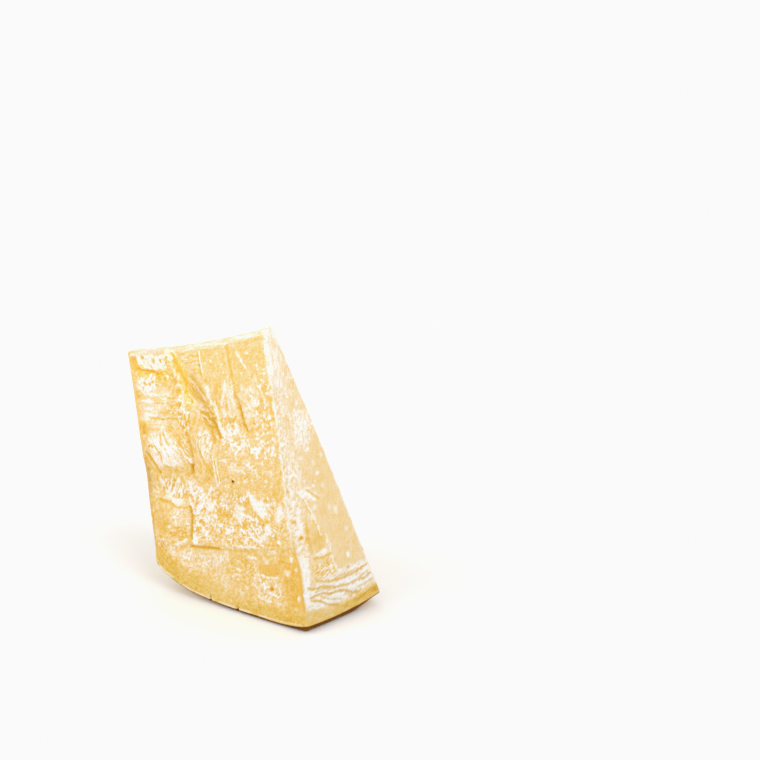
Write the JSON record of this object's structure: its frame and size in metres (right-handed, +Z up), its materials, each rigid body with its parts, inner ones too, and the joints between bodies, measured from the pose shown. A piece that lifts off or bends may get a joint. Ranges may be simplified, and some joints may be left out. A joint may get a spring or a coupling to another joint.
{
  "type": "parmesan chunk",
  "caption": "Tapering chunk of hard grating cheese standing on its curved rind heel, with a broken craggy front face, a smooth cut side and a narrow ridge on top.",
  "frame": {"origin": "centre of the bounding box in plan, at the ground that the heel rests on", "axes": "+Z up towards the ridge, +X the way the smooth middle cut faces, +Y the way the hidden back cut faces, so the broken face looks along -Y"},
  "size_m": [0.1056, 0.0718, 0.1452],
  "materials": {
    "cheese": "matt, pale golden cheese with white bloom and crystals, and an olive-gold rind on the heel and the far end"
  },
  "bodies": {
    "root": {"cheese_chunk": "cheese"}
  },
  "joints": []
}
